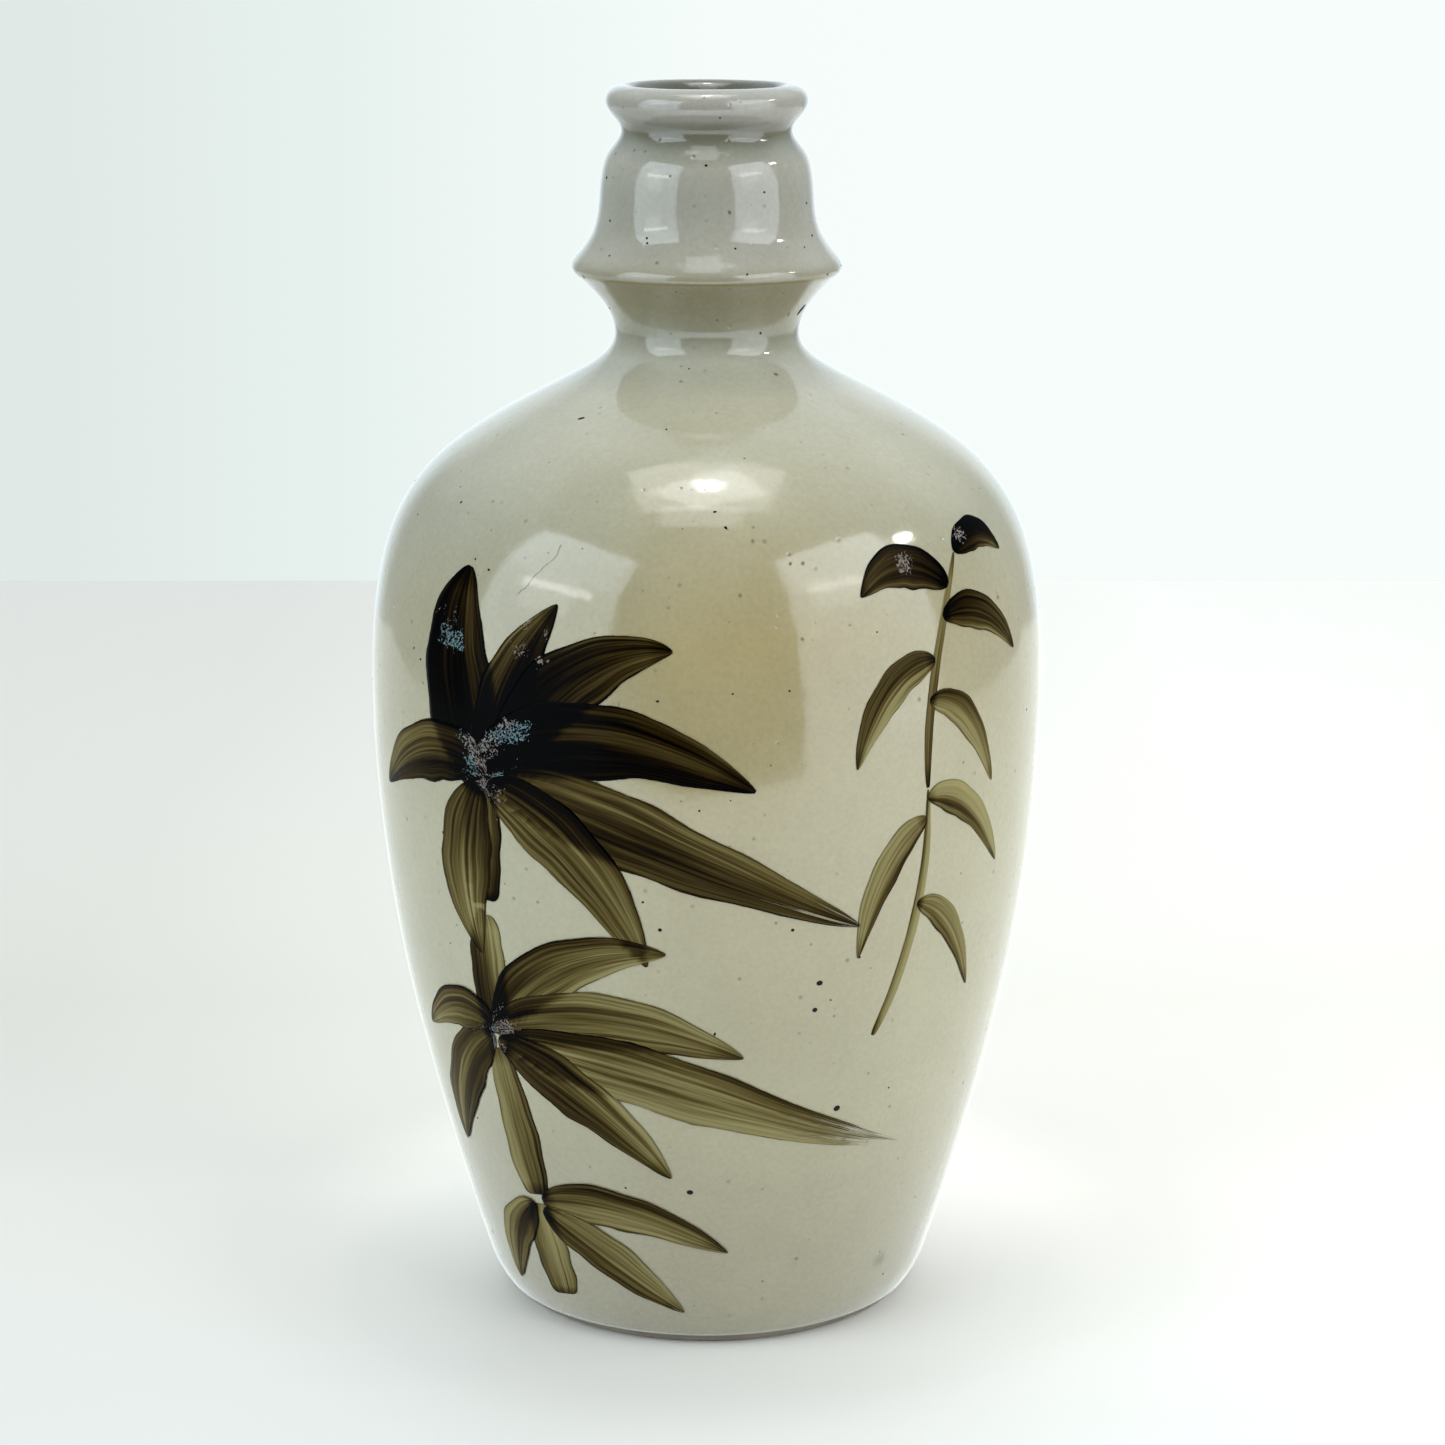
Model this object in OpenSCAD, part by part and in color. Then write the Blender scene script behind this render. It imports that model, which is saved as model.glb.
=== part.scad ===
// Sake bottle: thrown stoneware with a collared neck and a rolled lip, ash glazed inside and out,
// and painted with a stand of bamboo on the front and a sprig beside it.
// Millimetres, +Z up. The origin is the middle of the foot, on the surface that the bottle stands on.

/* [Body] */
// Radius of the flat foot
foot_r = 41.3; // [38:0.1:44]
// Radius of the wall just above the rounded heel
heel_r = 48.4; // [46:0.1:51]
// Height of the rounded heel
heel_h = 9.4; // [8:0.1:12]
// Radius of the belly, the widest place
belly_r = 71.4; // [66:0.1:76]
// Height of the belly, where the two thrown sections of the body are joined
belly_h = 135; // [125:1:145]
// Radius of the shoulder, half way in to the throat
shoulder_r = 48.5; // [45:0.1:52]
// Height of the shoulder at that radius
shoulder_h = 189; // [185:0.5:192]

/* [Neck] */
// Radius of the throat, where the neck is joined to the body
throat_r = 19.3; // [18.5:0.1:22]
// Height of the throat
throat_h = 208.7; // [206:0.1:211]
// Radius of the collar's sharp lower edge
collar_r = 27.7; // [25:0.1:30]
// Height of that edge above the throat
collar_rise = 12.9; // [11:0.1:15]
// Height of the collar's rounded rim
collar_band = 2.8; // [2:0.1:4]
// Radius of the neck at the middle of its straight stretch
neck_r = 22.4; // [21.5:0.1:23]
// Height of the lip's crown above the foot
total_h = 260; // [258:0.5:263]
// Radius at the bottom of the groove under the lip
groove_r = 17.7; // [17:0.1:19]
// Radius of the rolled lip
lip_r = 21.1; // [20.5:0.1:23]
// Radius of the glazed mouth
mouth_r = 13; // [11:0.1:13.5]

/* [Walls and coats] */
// Thickness of the clay wall
wall_t = 5.5; // [4.5:0.1:7]
// Thickness of the floor
floor_t = 8; // [6:0.5:10]
// Thickness of the glaze, inside and out
glaze_t = 0.5; // [0.3:0.05:0.8]
// Thickness of the iron brushwork on the glaze
paint_t = 0.2; // [0.1:0.05:0.3]

/* [Brushwork] */
// Direction that the bamboo faces, turned from the front of the bottle
bamboo_turn = -15; // [-30:1:0]
// Direction that the sprig faces, turned from the front of the bottle
sprig_turn = 42; // [35:1:60]

/* [Hidden] */
$fn = 96;

clay_colour = "#b9a68d";
glaze_colour = "#cdcbbb";
liner_colour = "#bdb8a4";
iron_colour = "#4a3f22";

up = [0, 1];
function slope(a) = [cos(a), sin(a)];
wall_slope = slope(73);
shoulder_slope = slope(148);
cone_slope = slope(45);
fillet_slope = slope(135);

// Stations on the outline, each [radius, height]
foot = [foot_r, 0];
heel = [heel_r, heel_h];
belly = [belly_r, belly_h];
mid_shoulder = [shoulder_r, shoulder_h];
throat = [throat_r, throat_h];
collar = [collar_r, throat_h + collar_rise];
rim = collar + [0, collar_band];
mid_neck = [neck_r, total_h - 23];
neck_top = [neck_r - 1.6, total_h - 14.4];
groove = [groove_r, total_h - 9.4];
lip = [lip_r, total_h - 3.2];
crown = [lip_r - 4, total_h];
bore_top = [mouth_r, total_h - 7];

// Stretches of the outline from foot to mouth: each is a curve's two ends, its two pulls and its steps
heel_curve = [foot, foot + 3.4 * slope(5), heel - 3.1 * wall_slope, heel, 8];
wall_curve = [heel, heel + 43.6 * wall_slope, belly - 46 * up, belly, 16];
lower_shoulder = [belly, belly + 30 * up, mid_shoulder - 20 * shoulder_slope, mid_shoulder, 14];
upper_shoulder = [mid_shoulder, mid_shoulder + 20 * shoulder_slope, throat - 6.8 * up, throat, 14];
cone_curve = [throat, throat + 5.1 * up, collar - 5.5 * cone_slope, collar, 8];
rim_curve = [collar, collar + 0.9 * slope(84), rim + 0.5 * slope(-50), rim, 5];
fillet_curve = [rim, rim + 5.1 * fillet_slope, mid_neck - 6.3 * slope(93), mid_neck, 10];
neck_curve = [mid_neck, mid_neck + 4.2 * slope(93), neck_top - 1.8 * slope(119), neck_top, 6];
groove_curve = [neck_top, neck_top + 1.8 * slope(119), groove - 1.7 * up, groove, 7];
lip_curve = [groove, groove + 2.3 * up, lip - 2.6 * up, lip, 7];
crown_curve = [lip, lip + 1.9 * up, crown + [2, 0], crown, 6];
mouth_curve = [crown, crown - [2.2, 0], bore_top + 3 * up, bore_top, 7];
neck_curves = [cone_curve, rim_curve, fillet_curve, neck_curve, groove_curve, lip_curve, crown_curve, mouth_curve];

// The glaze stops part of the way down the heel, and the bare clay is seen below it
bare_steps = 3;
// The inside of the wall starts a little way up, above the rounded corner of the floor
inner_start = 2;
throat_wall = throat_r - mouth_r - glaze_t;

function pt(c, t) =
    pow(1 - t, 3) * c[0] + 3 * pow(1 - t, 2) * t * c[1] + 3 * (1 - t) * t * t * c[2] + t * t * t * c[3];
function heading(c, t) =
    pow(1 - t, 2) * (c[1] - c[0]) + 2 * (1 - t) * t * (c[2] - c[1]) + t * t * (c[3] - c[2]);
function outward(c, t) = let (h = heading(c, t)) [h[1], -h[0]] / norm(h);

// Points along a curve from step i0 to step i1, sunk below it by d0 at its start and d1 at its end
function run(c, d0, d1, i0, i1) = [
    for (i = [i0:i1]) let (t = i / c[4]) pt(c, t) - (d0 + (d1 - d0) * t) * outward(c, t)
];
function all_of(c, d) = run(c, d, d, 0, c[4]);
function joined(curves, d) = [for (c = curves) each all_of(c, d)];
function back(points) = [for (i = [len(points) - 1:-1:0]) points[i]];

// Outside of the clay, under the glaze
clay_heel = run(heel_curve, 0, glaze_t, 0, heel_curve[4]);
clay_wall = all_of(wall_curve, glaze_t);
clay_shoulder = concat(all_of(lower_shoulder, glaze_t), all_of(upper_shoulder, glaze_t));
clay_neck = joined(neck_curves, glaze_t);

// Inside of the wall at a depth of d below the outline, from the middle of the floor to the belly
function inner_wall(d) = let (
    rise = run(wall_curve, wall_t + d, wall_t + d, inner_start, wall_curve[4]),
    corner = [[26, floor_t + d], [42, floor_t + d], rise[0] - 10 * wall_slope, rise[0], 8]
) concat([[0, floor_t + d]], run(corner, 0, 0, 0, 7), rise);

// Inside of the shoulder at a depth of d, from the belly to the throat
function inner_shoulder(d) = concat(
    all_of(lower_shoulder, wall_t + d),
    run(upper_shoulder, wall_t + d, throat_wall + d, 0, upper_shoulder[4])
);

module thrown(points) {
    rotate_extrude() polygon(points);
}

module lower_body() {
    color(clay_colour)
    thrown(concat([[0, 0]], clay_heel, clay_wall, back(inner_wall(0))));
}

module shoulder() {
    color(clay_colour)
    thrown(concat(clay_shoulder, back(inner_shoulder(0))));
}

module neck() {
    bore_wall = [[mouth_r + glaze_t, bore_top[1]], [mouth_r + glaze_t, throat_h]];
    color(clay_colour)
    thrown(concat(clay_neck, bore_wall));
}

module outer_glaze() {
    outside = concat(
        run(heel_curve, 0, 0, bare_steps, heel_curve[4]),
        joined([wall_curve, lower_shoulder, upper_shoulder], 0),
        joined(neck_curves, 0)
    );
    inside = concat(
        run(heel_curve, 0, glaze_t, bare_steps, heel_curve[4]),
        clay_wall,
        clay_shoulder,
        clay_neck
    );
    color(glaze_colour)
    thrown(concat(outside, back(inside)));
}

module inner_glaze() {
    on_clay = concat(inner_wall(0), inner_shoulder(0), [[mouth_r + glaze_t, bore_top[1]]]);
    surface = concat(inner_wall(glaze_t), inner_shoulder(glaze_t), [bore_top]);
    color(liner_colour)
    thrown(concat(on_clay, back(surface)));
}

// Brush strokes, drawn as they are seen from the side that they face: each is where the brush is set down,
// the point that pulls the stroke into a bend, where the brush is lifted, its greatest width, and how
// blunt its ends are, from 0.7 for a leaf's points to 0.25 for the square ends of a stalk
bamboo_strokes = [
    [[-19, 9], [-21, 19], [-23, 31], 8, 0.25],
    [[-23, 33], [-26, 49], [-29, 67], 8, 0.25],
    [[-29, 70], [-30, 84], [-30, 97], 8.5, 0.25],
    [[-30, 100], [-30, 113], [-29, 126], 9, 0.25],
    [[-27, 124], [-40, 146], [-33, 168], 17, 0.6],
    [[-28, 126], [-26, 146], [-12, 163], 11, 0.7],
    [[-26, 127], [-10, 156], [12, 155], 13, 0.7],
    [[-30, 128], [-6, 146], [28, 127], 15, 0.7],
    [[-28, 127], [-44, 136], [-57, 118], 12, 0.7],
    [[-27, 126], [4, 122], [46, 97], 14, 0.7],
    [[-28, 125], [-6, 118], [6, 90], 13, 0.7],
    [[-30, 125], [-38, 108], [-31, 88], 12, 0.7],
    [[-29, 72], [-16, 94], [10, 93], 11, 0.7],
    [[-30, 71], [-4, 84], [24, 70], 12, 0.7],
    [[-28, 69], [8, 70], [50, 45], 13, 0.7],
    [[-29, 69], [-8, 62], [8, 42], 11, 0.7],
    [[-30, 70], [-42, 62], [-42, 40], 10, 0.7],
    [[-30, 72], [-40, 78], [-49, 66], 9, 0.7],
    [[-22, 32], [-4, 38], [18, 24], 9, 0.7],
    [[-22, 30], [-6, 22], [8, 9], 9, 0.7],
    [[-24, 31], [-32, 24], [-31, 9], 8, 0.7],
];
sprig_strokes = [
    [[-12, 72], [-2, 96], [-4, 124], 2.2, 0.4],
    [[-4, 124], [-6, 150], [8, 170], 2.0, 0.4],
    [[8, 170], [18, 176], [25, 168], 6, 0.7],
    [[4, 164], [-8, 174], [-18, 164], 8, 0.7],
    [[1, 158], [14, 162], [25, 148], 7, 0.7],
    [[-2, 150], [-16, 150], [-21, 130], 7, 0.7],
    [[-4, 142], [8, 142], [16, 122], 6, 0.7],
    [[-4, 122], [8, 124], [20, 104], 6.5, 0.7],
    [[-4, 118], [-16, 112], [-18, 90], 6, 0.7],
    [[-5, 100], [6, 98], [14, 78], 5.5, 0.7],
];
stroke_steps = 12;
// A stroke is at its widest before half way, more so as this falls below 1
early = 0.75;

function bent(s, t) = pow(1 - t, 2) * s[0] + 2 * (1 - t) * t * s[1] + t * t * s[2];
function across(s, t) = let (h = (1 - t) * (s[1] - s[0]) + t * (s[2] - s[1])) [-h[1], h[0]] / norm(h);
function press(s, t) = s[3] / 2 * pow(sin(180 * pow(t, early)), s[4]);
function edge(s, side) = [
    for (i = [0:stroke_steps]) let (t = 0.02 + 0.96 * i / stroke_steps)
        bent(s, t) + side * press(s, t) * across(s, t)
];

module stroke(s) {
    polygon(concat(edge(s, -1), back(edge(s, 1))));
}

// A thin coat all round the body, just as thick as the brushwork
module paint_coat() {
    curves = [wall_curve, lower_shoulder];
    thrown(concat(joined(curves, -paint_t), back(joined(curves, 0))));
}

// Strokes painted on the side of the body that faces turn degrees from the front
module painted(strokes, turn) {
    color(iron_colour)
    intersection() {
        paint_coat();
        rotate([90, 0, turn])
            linear_extrude(height = belly_r + 2)
                for (s = strokes) stroke(s);
    }
}

module bamboo_brushwork() {
    painted(bamboo_strokes, bamboo_turn);
}

module sprig_brushwork() {
    painted(sprig_strokes, sprig_turn);
}

lower_body();
shoulder();
neck();
outer_glaze();
inner_glaze();
bamboo_brushwork();
sprig_brushwork();
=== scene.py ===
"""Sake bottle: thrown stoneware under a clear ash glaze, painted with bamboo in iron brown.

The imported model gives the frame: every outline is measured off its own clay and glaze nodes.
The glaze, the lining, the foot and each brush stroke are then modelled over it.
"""
import math
import random

import bpy
from mathutils import Matrix, Vector
from mathutils.bvhtree import BVHTree


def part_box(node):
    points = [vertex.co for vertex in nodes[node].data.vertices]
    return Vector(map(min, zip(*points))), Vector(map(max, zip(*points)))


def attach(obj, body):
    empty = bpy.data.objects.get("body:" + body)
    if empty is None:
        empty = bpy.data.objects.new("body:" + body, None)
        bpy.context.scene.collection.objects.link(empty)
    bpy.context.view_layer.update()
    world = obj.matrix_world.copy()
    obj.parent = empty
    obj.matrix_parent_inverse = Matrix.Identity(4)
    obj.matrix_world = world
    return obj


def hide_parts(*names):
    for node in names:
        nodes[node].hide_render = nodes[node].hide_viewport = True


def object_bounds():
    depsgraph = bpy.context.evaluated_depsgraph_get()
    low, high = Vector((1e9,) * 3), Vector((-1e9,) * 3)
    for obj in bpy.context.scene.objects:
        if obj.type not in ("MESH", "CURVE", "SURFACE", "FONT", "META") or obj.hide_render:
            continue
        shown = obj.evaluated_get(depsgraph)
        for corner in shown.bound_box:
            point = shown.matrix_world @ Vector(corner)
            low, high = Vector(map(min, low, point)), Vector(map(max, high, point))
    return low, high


MM = 0.001
UP = Vector((0, 0, 1))

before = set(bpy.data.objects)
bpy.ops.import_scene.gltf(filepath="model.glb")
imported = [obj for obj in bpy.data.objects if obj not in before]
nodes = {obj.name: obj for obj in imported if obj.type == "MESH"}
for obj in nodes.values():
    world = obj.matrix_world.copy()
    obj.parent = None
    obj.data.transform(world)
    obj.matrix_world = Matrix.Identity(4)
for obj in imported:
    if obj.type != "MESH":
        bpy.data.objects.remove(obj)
cad_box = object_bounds()


# ---------------------------------------------------------------- small tools

def tone(hex_colour, alpha=1.0):
    """An sRGB hex colour as linear red, green, blue and alpha."""
    parts = [int(hex_colour[i:i + 2], 16) / 255 for i in (1, 3, 5)]
    linear = [p / 12.92 if p <= 0.04045 else ((p + 0.055) / 1.055) ** 2.4 for p in parts]
    return (*linear, alpha)


def new_material(name):
    """An empty node material, its Principled shader and its output already joined."""
    material = bpy.data.materials.new(name)
    material.use_nodes = True
    tree = material.node_tree
    tree.nodes.clear()
    shader = tree.nodes.new("ShaderNodeBsdfPrincipled")
    output = tree.nodes.new("ShaderNodeOutputMaterial")
    tree.links.new(shader.outputs[0], output.inputs[0])
    return material, tree, shader


def add(tree, kind, inputs=None, **settings):
    """Adds a node with its settings; an input is given a value, or the socket that feeds it."""
    made = tree.nodes.new(kind)
    for name, value in settings.items():
        setattr(made, name, value)
    for name, value in (inputs or {}).items():
        if isinstance(value, bpy.types.NodeSocket):
            tree.links.new(value, made.inputs[name])
        else:
            made.inputs[name].default_value = value
    return made


def ramp(tree, source, stops):
    """A colour ramp through stops of (place, colour)."""
    made = add(tree, "ShaderNodeValToRGB", {"Fac": source})
    elements = made.color_ramp.elements
    while len(elements) < len(stops):
        elements.new(1.0)
    for element, (place, colour) in zip(elements, stops):
        element.position = place
        element.color = colour
    return made.outputs["Color"]


def start_fresh():
    """Leaves edit mode and deselects everything, so an operator acts only on the new piece."""
    if bpy.context.object and bpy.context.object.mode != "OBJECT":
        bpy.ops.object.mode_set(mode="OBJECT")
    bpy.ops.object.select_all(action="DESELECT")


def apply(piece, kind, **settings):
    """Adds a modifier to a piece and applies it."""
    start_fresh()
    piece.select_set(True)
    bpy.context.view_layer.objects.active = piece
    modifier = piece.modifiers.new(kind.title(), kind)
    for name, value in settings.items():
        setattr(modifier, name, value)
    bpy.ops.object.modifier_apply(modifier=modifier.name)


def finish_piece(piece, material, replaced=()):
    """Gives a piece its material and slot, and fixes it to the bottle."""
    piece.data.materials.clear()
    piece.data.materials.append(material)
    bpy.context.view_layer.objects.active = piece
    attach(piece, "root")
    if replaced:
        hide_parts(*replaced)
    return piece


# ---------------------------------------------------------------- measuring the frame

def tree_of(node):
    """A node's surface, ready to be measured with a caliper."""
    mesh = nodes[node].data
    return BVHTree.FromPolygons([v.co for v in mesh.vertices], [p.vertices for p in mesh.polygons])


def rings_of(node):
    """Radius and height of each ring that the node's outline turns at."""
    pairs = {(round(v.co.xy.length, 5), round(v.co.z, 5)) for v in nodes[node].data.vertices}
    return sorted(pairs, key=lambda pair: pair[1])


NEAR = 0.1 * MM
FAR = 0.2


def outside_radius(tree, height):
    """How far out a surface reaches at a height."""
    hit = tree.ray_cast(Vector((FAR, 0, height)), Vector((-1, 0, 0)))[0]
    return hit.x if hit else 0


def inside_radius(tree, height):
    """How far out a hollow reaches at a height."""
    hit = tree.ray_cast(Vector((0, 0, height)), Vector((1, 0, 0)))[0]
    return hit.x if hit else 0


def thin_out(line, gap):
    """Drops points that lie closer than gap to the one before them."""
    kept = [line[0]]
    for point in line[1:]:
        if math.dist(point, kept[-1]) > gap:
            kept.append(point)
    return kept


def outer_line(node):
    """The outside of a node, from its lowest ring to its highest."""
    tree = tree_of(node)
    return thin_out([p for p in rings_of(node) if p[0] > outside_radius(tree, p[1]) - NEAR], NEAR)


def mouth_line(node, crown):
    """Over the lip and down into the mouth, from the crown."""
    tree = tree_of(node)
    line = []
    for radius, height in rings_of(node):
        hit = tree.ray_cast(Vector((radius, 0, FAR * 2)), Vector((0, 0, -1)))[0]
        if radius < crown[0] - NEAR and hit and abs(hit.z - height) < NEAR:
            line.append((radius, height))
    narrowest = min(p[0] for p in rings_of(node) if p[1] > crown[1] - 20 * MM)
    lowest = min(p[1] for p in rings_of(node) if abs(p[0] - narrowest) < NEAR / 10)
    line = sorted(line, reverse=True) + [(narrowest, lowest)]
    return thin_out(line, NEAR)


def inner_line(node, low, high):
    """The inside of a node between two heights, from its highest ring to its lowest."""
    tree = tree_of(node)
    hair = 0.02 * MM
    line = [
        p for p in rings_of(node)
        if low <= p[1] <= high and p[0] < inside_radius(tree, p[1] + hair * (1 if p[1] < high else -1)) + NEAR
    ]
    return thin_out(sorted(line, key=lambda p: (-p[1], -p[0])), NEAR)


def ease(line, low, high, passes):
    """Rounds an outline's corners between two heights, as wet hands do."""
    for _ in range(passes):
        inner = zip(line, line[1:], line[2:])
        moved = [
            ((a[0] + 2 * b[0] + c[0]) / 4, (a[1] + 2 * b[1] + c[1]) / 4) if low < b[1] < high else b
            for a, b, c in inner
        ]
        line = [line[0]] + moved + [line[-1]]
    return line


def finer(line, low, high, gap):
    """Adds points to an outline between two heights, until none lie further apart than gap."""
    made = [line[0]]
    for here, there in zip(line, line[1:]):
        steps = math.ceil(math.dist(here, there) / gap) if low < there[1] < high else 1
        for i in range(1, steps + 1):
            made.append(tuple(a + (b - a) * i / steps for a, b in zip(here, there)))
    return made


# ---------------------------------------------------------------- modelling by hand

def lathe(name, line, steps=72):
    """Draws an outline of (radius, height) points and spins it into a round piece."""
    start_fresh()
    first = Vector((line[0][0], 0, line[0][1]))
    bpy.ops.mesh.primitive_plane_add(size=MM, location=first)
    piece = bpy.context.object
    piece.name = piece.data.name = name
    bpy.ops.object.transform_apply(location=True, rotation=True, scale=True)
    bpy.ops.object.mode_set(mode="EDIT")
    bpy.ops.mesh.select_all(action="SELECT")
    bpy.ops.mesh.merge(type="CENTER")
    for here, there in zip(line, line[1:]):
        move = (there[0] - here[0], 0, there[1] - here[1])
        bpy.ops.mesh.extrude_vertices_move(TRANSFORM_OT_translate={"value": move})
    bpy.ops.mesh.select_all(action="SELECT")
    bpy.ops.mesh.spin(steps=steps, angle=math.tau, center=(0, 0, 0), axis=(0, 0, 1))
    bpy.ops.mesh.select_all(action="SELECT")
    bpy.ops.mesh.remove_doubles(threshold=NEAR / 10)
    bpy.ops.mesh.normals_make_consistent(inside=False)
    bpy.ops.object.mode_set(mode="OBJECT")
    bpy.ops.object.shade_smooth()
    return piece


def hand_made(piece, name, kind, size, strength, **settings):
    """Moves a surface in and out a little, as a thrower's hands leave it."""
    texture = bpy.data.textures.new(name, kind)
    for key, value in {"noise_scale": size, **settings}.items():
        setattr(texture, key, value)
    apply(piece, "DISPLACE", texture=texture, strength=strength, mid_level=0.5, texture_coords="LOCAL")


# ---------------------------------------------------------------- sizes taken from the frame

body_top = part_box("shoulder")[1].z
belly_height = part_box("lower_body")[1].z
bottle_top = cad_box[1].z
belly_radius = cad_box[1].x

outside = outer_line("outer_glaze")
crown = max(outside, key=lambda p: p[1])
mouth = mouth_line("outer_glaze", crown)
bore_top = mouth[-1][1]
collar_zone = [p for p in outside if body_top + 8 * MM < p[1] < bottle_top - 30 * MM]
collar_rim = max(collar_zone, key=lambda p: p[0])
collar_edge = min(
    (p for p in collar_zone if p[1] < collar_rim[1] + NEAR and p[0] > collar_rim[0] - 0.3 * MM),
    key=lambda p: p[1],
)
glaze_thickness = 0.5 * MM


# ---------------------------------------------------------------- materials

# Places on the bottle, in metres
SMUDGE = (0.0368, -0.0340, 0.0150)
CRACK_END = (-0.0370, 0.0, 0.1639)
CRACK_ALONG = (0.668, 0.0, 0.744)
CRACK_ASIDE = (-0.744, 0.0, 0.668)
CRACK_LENGTH = 0.0132


def ash_glaze():
    """Clear ash glaze over grey stoneware, dipped and wood-ash fired.

    It is glossy and a little uneven: warm down the middle of the body, greyer on the neck, olive where it thins
    over an edge, and peppered with iron specks that came up from the clay. Its sides are painted cooler and
    greyer, and it is painted paler toward the right, as painted reflection and light.
    """
    material, tree, shader = new_material("ash_glaze_on_stoneware")
    place = add(tree, "ShaderNodeTexCoord").outputs["Object"]
    axes = add(tree, "ShaderNodeSeparateXYZ", {0: place})
    height = axes.outputs["Z"]

    drift = add(tree, "ShaderNodeTexNoise", {"Vector": place, "Scale": 14.0, "Detail": 3.0, "Roughness": 0.55})
    cloud = add(tree, "ShaderNodeTexNoise", {"Vector": place, "Scale": 55.0, "Detail": 4.0, "Roughness": 0.6})
    grain = add(tree, "ShaderNodeTexNoise", {"Vector": place, "Scale": 900.0, "Detail": 2.0, "Roughness": 0.6})

    # Down the bottle: warm beige-green on the body, cooler above the throat; in the groove under the lip it is
    # darker, partly glaze pooled thick and olive and partly painted shade in the recess
    lifted = add(tree, "ShaderNodeMath", {0: drift.outputs["Fac"], 1: 0.016, 2: -0.008},
                 operation="MULTIPLY_ADD")
    level = add(tree, "ShaderNodeMath", {0: height, 1: lifted.outputs[0]}, operation="ADD")
    share = add(tree, "ShaderNodeMath", {0: level.outputs[0], 1: bottle_top}, operation="DIVIDE")
    body = ramp(tree, share.outputs[0], [
        (0.00, tone("#847d68")),
        (0.22, tone("#8c8468")),
        (0.42, tone("#887e5f")),
        (0.60, tone("#887a56")),
        (0.68, tone("#857d63")),
        (0.74, tone("#8a8571")),
        (0.785, tone("#918d7c")),
        (0.805, tone("#747160")),
        (0.84, tone("#766f57")),
        (0.862, tone("#7a7564")),
        (0.87, tone("#7d796c")),
        (0.925, tone("#7d7a6e")),
        (0.945, tone("#827e72")),
        (0.960, tone("#6d6c5e")),
        (0.968, tone("#575444")),
        (0.977, tone("#59564a")),
        (0.985, tone("#7f7b71")),
    ])
    # Painted reflection and light: out to the left and right of the body the glaze is painted cooler and
    # greyer, standing in for the pale room and side lights it catches there; the middle keeps the warm glaze
    # colour
    side_sheen_colour = ramp(tree, share.outputs[0], [
        (0.00, tone("#827c69")), (0.22, tone("#908a71")), (0.42, tone("#908a71")), (0.60, tone("#867f67")),
        (0.68, tone("#7f7c6a")), (0.74, tone("#888370")),
    ])
    across = add(tree, "ShaderNodeMapRange", {
        "Value": axes.outputs["X"], "From Min": -belly_radius, "From Max": belly_radius,
    })
    side_sheen_stops = [
        (0.0, 1.0), (0.15, 1.0), (0.36, 0.55), (0.46, 0.1),
        (0.58, 0.1), (0.71, 0.4), (0.89, 0.75), (1.0, 0.9),
    ]
    sideways = ramp(tree, across.outputs[0], [(stop, (part, part, part, 1.0)) for stop, part in side_sheen_stops])
    below_neck = add(tree, "ShaderNodeMapRange", {
        "Value": share.outputs[0], "From Min": 0.74, "From Max": 0.785, "To Min": 1.0, "To Max": 0.0,
    })
    side_sheen_share = add(tree, "ShaderNodeMath", {0: sideways, 1: below_neck.outputs[0]}, operation="MULTIPLY")
    with_side_sheen = add(tree, "ShaderNodeMix", {"Factor": side_sheen_share.outputs[0], 6: body, 7: side_sheen_colour},
                  data_type="RGBA", blend_type="MIX")
    # Painted light: the glaze is also painted a little paler toward the right, where the right-hand light falls
    # on it
    painted_right_light = add(tree, "ShaderNodeMapRange", {
        "Value": axes.outputs["X"], "From Min": -0.06, "From Max": 0.06, "To Min": 1.01, "To Max": 1.12,
    })
    body = add(tree, "ShaderNodeMix", {"Factor": 1.0, 6: with_side_sheen.outputs[2], 7: painted_right_light.outputs[0]},
               data_type="RGBA", blend_type="MULTIPLY").outputs[2]
    # Inside the mouth the glaze is painted dark olive: partly the glaze lying thin there, partly painted shade
    # down in the mouth
    level_place = add(tree, "ShaderNodeVectorMath", {0: place, 1: (1.0, 1.0, 0.0)}, operation="MULTIPLY")
    radius = add(tree, "ShaderNodeVectorMath", {0: level_place.outputs[0]}, operation="LENGTH")
    in_mouth = add(tree, "ShaderNodeMapRange", {
        "Value": radius.outputs["Value"], "From Min": mouth[-1][0] + 0.0025, "From Max": crown[0] + 0.0008,
        "To Min": 1.0, "To Max": 0.0,
    })
    up_high = add(tree, "ShaderNodeMath", {0: height, 1: bore_top - 0.001}, operation="GREATER_THAN")
    mouth_shade_share = add(tree, "ShaderNodeMath", {0: in_mouth.outputs[0], 1: up_high.outputs[0]}, operation="MULTIPLY")
    body = add(tree, "ShaderNodeMix", {"Factor": mouth_shade_share.outputs[0], 6: body, 7: tone("#4b493e")},
               data_type="RGBA", blend_type="MIX").outputs[2]
    mottled = add(tree, "ShaderNodeMix", {
        "Factor": cloud.outputs["Fac"], 6: tone("#8f8a72"), 7: tone("#ffffff"),
    }, data_type="RGBA", blend_type="MIX")
    soft = add(tree, "ShaderNodeMix", {"Factor": 0.22, 6: body, 7: mottled.outputs[2]},
               data_type="RGBA", blend_type="SOFT_LIGHT")

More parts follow.
